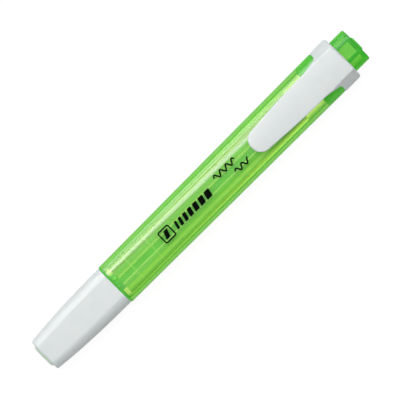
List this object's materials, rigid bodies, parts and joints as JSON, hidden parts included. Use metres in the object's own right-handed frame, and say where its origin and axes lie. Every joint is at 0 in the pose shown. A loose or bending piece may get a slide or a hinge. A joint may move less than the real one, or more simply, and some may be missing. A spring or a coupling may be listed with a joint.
{
  "type": "pocket highlighter",
  "caption": "Slim flat-backed pocket highlighter with a translucent barrel, a pull-off cap over a chisel nib, a sprung clip on a rear collar and an end plug.",
  "frame": {"origin": "middle of the pen's length and width, on the surface that its flat back lies on", "axes": "+X along the pen from the capped nib to the rear plug, +Z out through the clip, +Y across the width"},
  "size_m": [0.137, 0.0162, 0.0127],
  "materials": {
    "green_clear": "glossy translucent green plastic",
    "green_moulding": "satin green plastic",
    "white_plastic": "satin white plastic",
    "nib_felt": "pressed felt soaked in yellow-green ink",
    "ink_fibre": "bundled fibre soaked in yellow-green ink",
    "clear_film": "thin clear film tinted by the ink"
  },
  "bodies": {
    "pen": {"barrel": "green_clear", "nib_holder": "green_moulding", "nib": "nib_felt", "ink_reservoir": "ink_fibre", "reservoir_film": "clear_film", "end_plug": "green_clear", "clip_collar": "white_plastic"},
    "cap": {"cap_shell": "white_plastic", "inner_cap": "green_moulding"},
    "clip": {"clip_blade": "white_plastic"}
  },
  "joints": [
    {"name": "cap_pull", "type": "slide", "parent": "pen", "child": "cap", "axis": [-1, 0, 0], "range_m": [0, 0.035]},
    {"name": "clip_flex", "type": "hinge", "parent": "pen", "child": "clip", "pos_m": [0.0556, 0, 0.01205], "axis": [0, 1, 0], "range_deg": [0, 6], "stiffness_Nm_per_rad": 1}
  ]
}
